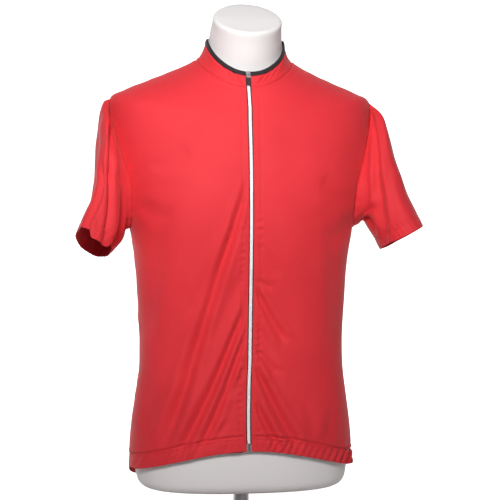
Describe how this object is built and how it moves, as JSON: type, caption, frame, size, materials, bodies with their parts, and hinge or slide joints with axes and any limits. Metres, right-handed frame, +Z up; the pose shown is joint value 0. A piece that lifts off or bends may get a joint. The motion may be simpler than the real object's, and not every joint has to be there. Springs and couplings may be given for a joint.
{
  "type": "cycling jersey on dress form",
  "caption": "Short-sleeved red cycling jersey with stand collar and full-length front zip, worn by a limbless dress form on a low round stand",
  "frame": {"origin": "centre of the base plate's underside", "axes": "+Z up, -Y the way the jersey's front faces, +X the wearer's left"},
  "size_m": [0.5433, 0.3, 0.8805],
  "materials": {
    "knit": "fine polyester knit, soft sheen",
    "binding": "black elastic tape",
    "zip_coil": "white moulded coil",
    "zip_metal": "satin",
    "zip_pull": "gunmetal",
    "form_shell": "smooth, eggshell",
    "flange_paint": "black, satin",
    "stand_steel": "brushed"
  },
  "bodies": {
    "root": {"front_left": "knit", "front_right": "knit", "back": "knit", "sleeve_left": "knit", "sleeve_right": "knit", "collar": "knit", "pocket_panel": "knit", "collar_binding": "binding", "zip_tape_left": "binding", "zip_tape_right": "binding", "zip_chain": "zip_coil", "zip_slider": "zip_metal", "zip_box": "zip_metal", "dress_form": "form_shell", "form_flange": "flange_paint", "stand_pole": "stand_steel", "stand_base": "stand_steel"},
    "zip_pull": {"zip_pull": "zip_pull"}
  },
  "joints": [
    {"name": "pull_hinge", "type": "hinge", "parent": "root", "child": "zip_pull", "pos_m": [-0.00005, -0.08146, 0.7587], "axis": [-0.9999, 0.0148, -0.0053], "range_deg": [0, 150]}
  ]
}
